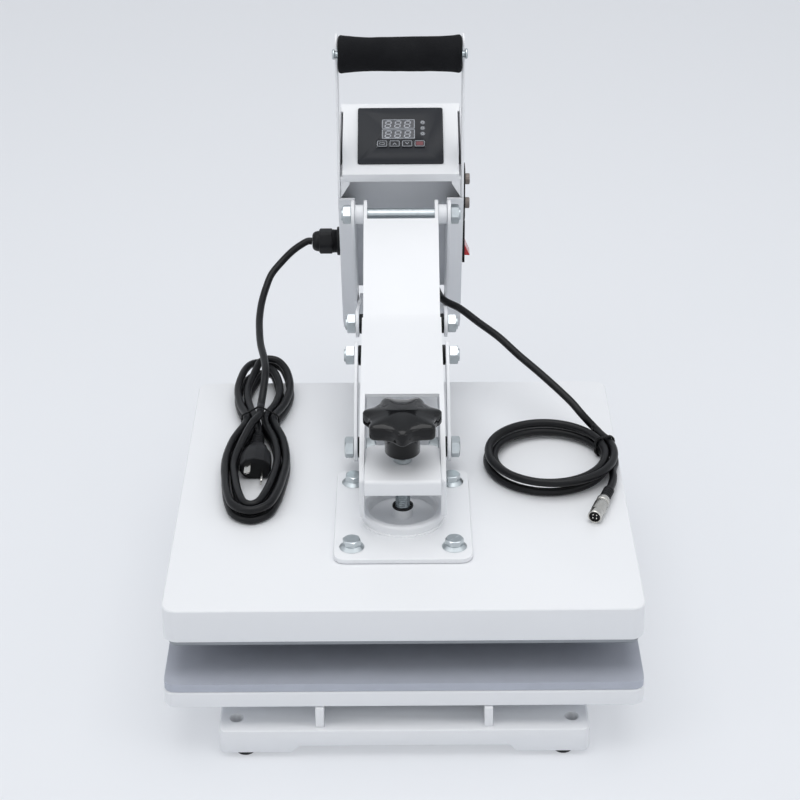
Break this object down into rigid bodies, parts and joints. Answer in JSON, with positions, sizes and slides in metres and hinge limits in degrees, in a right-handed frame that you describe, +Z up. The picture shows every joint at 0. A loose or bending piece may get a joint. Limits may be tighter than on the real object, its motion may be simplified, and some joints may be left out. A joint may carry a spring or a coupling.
{
  "type": "clamshell heat press",
  "caption": "Clamshell heat press: heated platen on a hinged arm over a padded lower platen, with control box, handle, pressure knob and coiled cords.",
  "frame": {"origin": "middle of the machine's footprint, on the plane that the rubber feet stand on", "axes": "+Z up, +X to the operator's right, -Y towards the operator"},
  "size_m": [0.403, 0.6402, 0.463],
  "materials": {
    "white_paint": "satin powder coat",
    "zinc_steel": "bright zinc plate",
    "alloy": "cast and machined",
    "fibre": "matt fibre blanket",
    "silicone": "matt silicone foam",
    "foot_rubber": "matt",
    "gloss_black": "high gloss",
    "foam": "fine foam",
    "panel_black": "satin film",
    "red_plastic": "gloss",
    "black_plastic": "fine grain",
    "cord_sheath": "satin sheath",
    "nickel": "nickel plate"
  },
  "bodies": {
    "base": {"front_foot_bar": "white_paint", "rear_foot_bar": "white_paint", "foot_front_left": "foot_rubber", "foot_front_right": "foot_rubber", "foot_rear_left": "foot_rubber", "foot_rear_right": "foot_rubber", "rail_left": "white_paint", "rail_right": "white_paint", "lower_platen": "white_paint", "silicone_pad": "silicone", "hinge_pin": "zinc_steel"},
    "upper_arm": {"arm_channel": "white_paint", "side_link_left": "white_paint", "side_link_right": "white_paint", "hinge_link_left": "white_paint", "hinge_link_right": "white_paint", "axle_a": "zinc_steel", "cross_bolt_b": "zinc_steel", "cross_bolt_c": "zinc_steel", "pivot_bolt_left": "zinc_steel", "pivot_bolt_right": "zinc_steel", "saddle": "white_paint", "pressure_nut": "zinc_steel", "cheek_left": "white_paint", "cheek_right": "white_paint", "side_wall_left": "white_paint", "side_wall_right": "white_paint", "handle_bar": "zinc_steel", "handle_grip": "foam", "control_housing": "white_paint", "back_cover": "white_paint", "panel_overlay": "panel_black", "cord_gland": "black_plastic", "fuse_plate": "black_plastic", "switch_bezel": "black_plastic", "power_cord_free": "cord_sheath", "sensor_cable_free": "cord_sheath"},
    "platen": {"platen_cover": "white_paint", "insulation": "fibre", "heating_plate": "alloy", "mount_plate": "white_paint", "flange_bolt_front_left": "zinc_steel", "flange_bolt_front_right": "zinc_steel", "flange_bolt_rear_left": "zinc_steel", "flange_bolt_rear_right": "zinc_steel", "power_cord_hank": "cord_sheath", "hank_tie": "black_plastic", "plug": "black_plastic", "sensor_coil": "cord_sheath", "coil_tie": "black_plastic", "connector": "nickel"},
    "knob_body": {"knob": "gloss_black", "pressure_screw": "zinc_steel"},
    "rocker_body": {"rocker": "red_plastic"},
    "fuse_upper": {"fuse_cap_upper": "black_plastic"},
    "fuse_lower": {"fuse_cap_lower": "black_plastic"},
    "key_1_body": {"key_1": "panel_black"},
    "key_2_body": {"key_2": "panel_black"},
    "key_3_body": {"key_3": "panel_black"},
    "key_4_body": {"key_4": "red_plastic"}
  },
  "joints": [
    {"name": "clamshell", "type": "hinge", "parent": "base", "child": "upper_arm", "pos_m": [0, 0.28088, 0.13], "axis": [-1, 0, 0], "range_deg": [-2, 50]},
    {"name": "platen_height", "type": "slide", "parent": "upper_arm", "child": "platen", "axis": [0, 0, 1], "range_m": [-0.002, 0.002]},
    {"name": "knob_turn", "type": "hinge", "parent": "platen", "child": "knob_body", "pos_m": [0, -0.16212, 0.22], "axis": [0, 0, 1], "range_deg": [-360, 360]},
    {"name": "power_switch", "type": "hinge", "parent": "upper_arm", "child": "rocker_body", "pos_m": [0.06085, 0.23588, 0.23], "axis": [0, 1, 0], "range_deg": [0, 24]},
    {"name": "fuse_cap_upper_turn", "type": "hinge", "parent": "upper_arm", "child": "fuse_upper", "pos_m": [0.066, 0.22088, 0.301], "axis": [1, 0, 0], "range_deg": [0, 90]},
    {"name": "fuse_cap_lower_turn", "type": "hinge", "parent": "upper_arm", "child": "fuse_lower", "pos_m": [0.066, 0.22088, 0.275], "axis": [1, 0, 0], "range_deg": [0, 90]},
    {"name": "key_1_press", "type": "slide", "parent": "upper_arm", "child": "key_1_body", "axis": [0, 0.4714, -0.8819], "range_m": [0, 0.0004], "stiffness_N_per_m": 600},
    {"name": "key_2_press", "type": "slide", "parent": "upper_arm", "child": "key_2_body", "axis": [0, 0.4714, -0.8819], "range_m": [0, 0.0004], "stiffness_N_per_m": 600},
    {"name": "key_3_press", "type": "slide", "parent": "upper_arm", "child": "key_3_body", "axis": [0, 0.4714, -0.8819], "range_m": [0, 0.0004], "stiffness_N_per_m": 600},
    {"name": "key_4_press", "type": "slide", "parent": "upper_arm", "child": "key_4_body", "axis": [0, 0.4714, -0.8819], "range_m": [0, 0.0004], "stiffness_N_per_m": 600}
  ],
  "couplings": [
    {"joint": "knob_turn", "follows": "platen_height", "rad_per_m": 3141.6}
  ]
}
